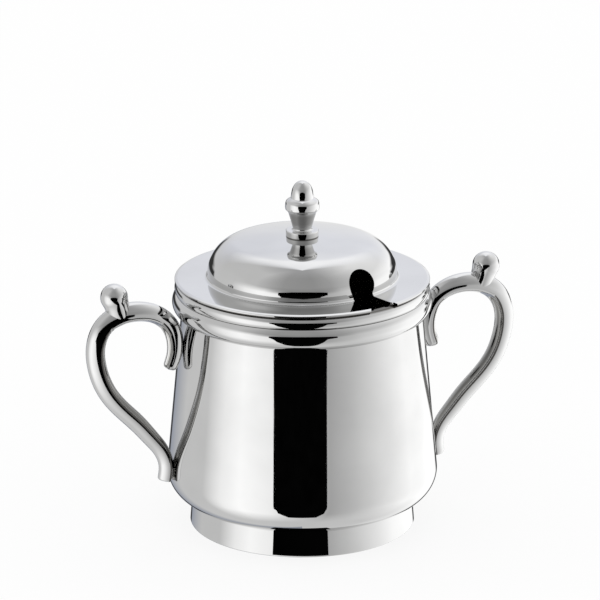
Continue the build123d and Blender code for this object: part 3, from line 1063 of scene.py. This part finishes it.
def tent_cloth(studio):
    """Light on the tent's inside: a dark opening in front and pale cloth elsewhere."""
    nodes = Nodes("tent_cloth")
    place = nodes.add("ShaderNodeTexCoord").outputs["Object"]
    parts = nodes.add("ShaderNodeSeparateXYZ", [("Vector", place)])
    x, y, z = (parts.outputs[axis] for axis in "XYZ")
    turn = nodes.math("ARCTAN2", x, nodes.math("MULTIPLY", y, -1.0))
    level = nodes.math("SQRT", nodes.math("ADD", nodes.times(x, x), nodes.times(y, y)))
    rise = nodes.math("ARCTAN2", z, level)
    off_camera = nodes.math("ABSOLUTE", turn)

    def past(value, low, high, most=1.0):
        """How far an angle is past an edge that is soft between two degrees."""
        return nodes.ranged(value, radians(low), radians(high), 0.0, most)

    def above(low, high):
        return past(rise, low, high)

    left, right, top = studio.opening_left, studio.opening_right, studio.opening_top
    half, soft = (left + right) / 2, radians(0.4)
    off_middle = nodes.math("ABSOLUTE", nodes.math("SUBTRACT", turn, (right - left) / 2))
    front = nodes.ranged(off_middle, half + soft, half, 0.0, 1.0)
    veil = nodes.ranged(off_middle, half + radians(18), half - radians(12), 0.0, 1.0)
    share = nodes.math("DIVIDE", off_middle, half)
    fall = nodes.times(share, share, studio.opening_fall)
    under_top = nodes.ranged(nodes.math("ADD", rise, fall), top + soft, top, 0.0, 1.0)
    behind = past(off_camera, 125, 165, 0.6)
    around = nodes.ranged(turn, -pi, pi, 0.0, 1.0)
    lit = nodes.mix(above(4, 26), *(light_ramp(nodes, around, stops)
                                    for stops in (LOW_LIGHT, HIGH_LIGHT)))
    # Each colour covers the ones before it by the product of its shares
    layers = [
        (ROOF, above(58, 86)),
        (UNDERSIDE, above(-32, -65)),
        (BACK_HAZE, behind, above(0, 20)),
        (DIM_CORNER, past(turn, -125, -155, 0.9), above(0, -10)),
        (BACK_GLOW, behind, above(30, 46)),
        *((GAP, past(off_camera, first, first + 4), past(off_camera, last, last - 3),
           above(*upper), above(*lower)) for (first, last), lower, upper in GAPS),
        (VEIL, veil, above(34, 18), above(0, 12)),
        (grey(0.0), front, under_top, above(-4, -3.8)),
    ]
    for tint, *shares in layers:
        lit = nodes.mix(nodes.times(*shares), lit, tint)
    shader = nodes.add("ShaderNodeEmission", [("Color", lit), ("Strength", studio.tent_light)])
    return nodes.finish(shader.outputs[0])


# Edges of the dark table in front of the pot: (to the side, towards the camera) in mm
DARK_LEFT = [(8, 58), (19, 72), (30, 98), (44, 122), (56, 147), (81, 200), (109, 256), (139, 317),
             (175, 382), (208, 440), (340, 674), (1400, 2600)]
DARK_RIGHT = [(8, 58), (17, 72), (27, 98), (39, 126), (49, 151), (71, 205), (95, 263), (122, 326),
              (153, 394), (182, 455), (292, 600), (1480, 2560)]
# The card's level, the ends of the fence in degrees to the right of the camera, its posts, and
# the height of the tent's middle
CARD_LEVEL, FENCE_ENDS, FENCE_POSTS, TENT_MIDDLE = -mm(0.02), (-15.8, 14.0), 16, mm(45)


def black_cloth():
    """Black cloth, a little uneven."""
    nodes = Nodes("black_cloth")
    place = nodes.add("ShaderNodeTexCoord").outputs["Object"]
    weave = nodes.add("ShaderNodeTexNoise", [("Vector", place), ("Scale", 30.0)]).outputs[0]
    black = nodes.mix(weave, grey(0.0), grey(0.003))
    shader = nodes.add("ShaderNodeEmission", [("Color", black), ("Strength", 1.0)])
    return nodes.finish(shader.outputs[0])


def mirrors_only(piece):
    """Show a piece of the studio to reflections alone."""
    for ray in ("camera", "diffuse", "transmission", "volume_scatter", "shadow"):
        setattr(piece, f"visible_{ray}", False)


class SUGARPOT_OT_stage(bpy.types.Operator):
    """Set the floor, the light tent, the dark cards, the world and the camera."""

    bl_idname = "sugarpot.stage"
    bl_label = "Studio"

    def execute(self, context):
        studio = context.scene.pot_studio
        self.lay_floor(studio)
        self.raise_tent(studio)
        self.lay_dark_cards(studio)
        self.light_world(context)
        self.place_camera(context, studio)
        return {"FINISHED"}

    def lay_floor(self, studio):
        """A wide pale floor that mirrors don't see, so that they show the tent alone."""
        bm = bmesh.new()
        bmesh.ops.create_grid(bm, x_segments=1, y_segments=1, size=6.0,
                              matrix=Matrix.Translation((0, 0, -HAIR)))
        nodes = Nodes("pale_floor")
        shaded = nodes.add("ShaderNodeBsdfDiffuse", [("Color", opaque(studio.floor_colour))])
        white = nodes.add("ShaderNodeEmission", [("Color", grey(1.0))])
        seen = nodes.add("ShaderNodeLightPath").outputs["Is Camera Ray"]
        share = nodes.math("MULTIPLY", seen, studio.floor_glow)
        shader = nodes.add("ShaderNodeMixShader", [
            (0, share), (1, shaded.outputs[0]), (2, white.outputs[0])])
        floor = finished("floor", bm, nodes.finish(shader.outputs[0]))
        floor.visible_glossy = False

    def raise_tent(self, studio):
        """A light tent round the pot that only reflections see."""
        bm = bmesh.new()
        bmesh.ops.create_uvsphere(bm, u_segments=64, v_segments=32, radius=studio.tent_radius)
        bmesh.ops.reverse_faces(bm, faces=bm.faces)
        tent = finished("light_tent", bm, tent_cloth(studio))
        tent.location.z = TENT_MIDDLE
        tent.rotation_euler.z = -studio.azimuth
        mirrors_only(tent)

    def lay_dark_cards(self, studio):
        """The dark table in front of the pot and a low dark fence at its foot."""
        card = bmesh.new()
        edge = [(-side, away) for side, away in DARK_LEFT[::-1]] + DARK_RIGHT
        card.faces.new([card.verts.new((mm(side), -mm(away), CARD_LEVEL)) for side, away in edge])
        turns = [radians(degree) for degree in np.linspace(*FENCE_ENDS, FENCE_POSTS)]
        low, high = ([card.verts.new((studio.fence_radius * sin(turn),
                                      -studio.fence_radius * cos(turn), height))
                      for turn in turns] for height in (CARD_LEVEL, studio.fence_height))
        for corners in zip(low, low[1:], high[1:], high):
            card.faces.new(corners)
        cards = finished("dark_cards", card, black_cloth())
        cards.rotation_euler.z = -studio.azimuth
        mirrors_only(cards)

    def light_world(self, context):
        """An even white world, with colours shown as they are."""
        world = bpy.data.worlds.new("studio")
        world.use_nodes = True
        background = world.node_tree.nodes["Background"]
        background.inputs["Color"].default_value = grey(1.0)
        background.inputs["Strength"].default_value = 1.0
        context.scene.world = world
        context.scene.view_settings.view_transform = "Standard"

    def place_camera(self, context, studio):
        """The camera at the photo's angle, turned so that the pot's middle lands in place."""
        half_frame, sensor = 300.0, 36.0
        focal = studio.lens * 2 * half_frame / sensor
        level, rise = studio.azimuth, studio.elevation
        away = Vector((-sin(level) * cos(rise), -cos(level) * cos(rise), sin(rise)))
        target = Vector((0, 0, studio.target_height))
        data = bpy.data.cameras.new("camera")
        data.lens = studio.lens
        data.sensor_width = sensor
        data.clip_end = 20.0
        camera = bpy.data.objects.new("camera", data)
        context.scene.collection.objects.link(camera)
        camera.location = target + away * studio.distance
        lift = atan((studio.target_y - half_frame) / focal)
        pan = atan((studio.target_x - half_frame) / focal)
        camera.rotation_euler = (pi / 2 - rise + lift, 0, -level + pan)
        context.scene.camera = camera


class SUGARPOT_PT_panel(bpy.types.Panel):
    """Lists the pot's operators and its sizes in the sidebar."""

    bl_label = "Sugar pot"
    bl_idname = "SUGARPOT_PT_panel"
    bl_space_type = "VIEW_3D"
    bl_region_type = "UI"
    bl_category = "Sugar pot"

    def draw(self, context):
        for operator in OPERATORS:
            self.layout.operator(operator.bl_idname)
        for name in SETTINGS:
            box = self.layout.box()
            settings = getattr(context.scene, name)
            for key in settings.__annotations__:
                box.prop(settings, key)


SETTINGS = {
    "pot_bowl": BowlSizes,
    "pot_lid": LidSizes,
    "pot_knob": KnobSizes,
    "pot_handle": HandleSizes,
    "pot_finish": Finish,
    "pot_studio": Studio,
}
OPERATORS = (
    SUGARPOT_OT_stage, SUGARPOT_OT_bowl, SUGARPOT_OT_lid, SUGARPOT_OT_knob, SUGARPOT_OT_handles)


def register():
    """Register the settings, the operators and the panel."""
    for name, group in SETTINGS.items():
        bpy.utils.register_class(group)
        setattr(bpy.types.Scene, name, PointerProperty(type=group))
    for shown in (*OPERATORS, SUGARPOT_PT_panel):
        bpy.utils.register_class(shown)


def unregister():
    """Take all of it out again."""
    for shown in (*OPERATORS, SUGARPOT_PT_panel):
        bpy.utils.unregister_class(shown)
    for name, group in SETTINGS.items():
        delattr(bpy.types.Scene, name)
        bpy.utils.unregister_class(group)


def main():
    """Build everything in order."""
    register()
    bpy.ops.sugarpot.stage()
    bpy.ops.sugarpot.bowl()
    bpy.ops.sugarpot.lid()
    bpy.ops.sugarpot.knob()
    bpy.ops.sugarpot.handles()


if __name__ == "__main__":
    main()
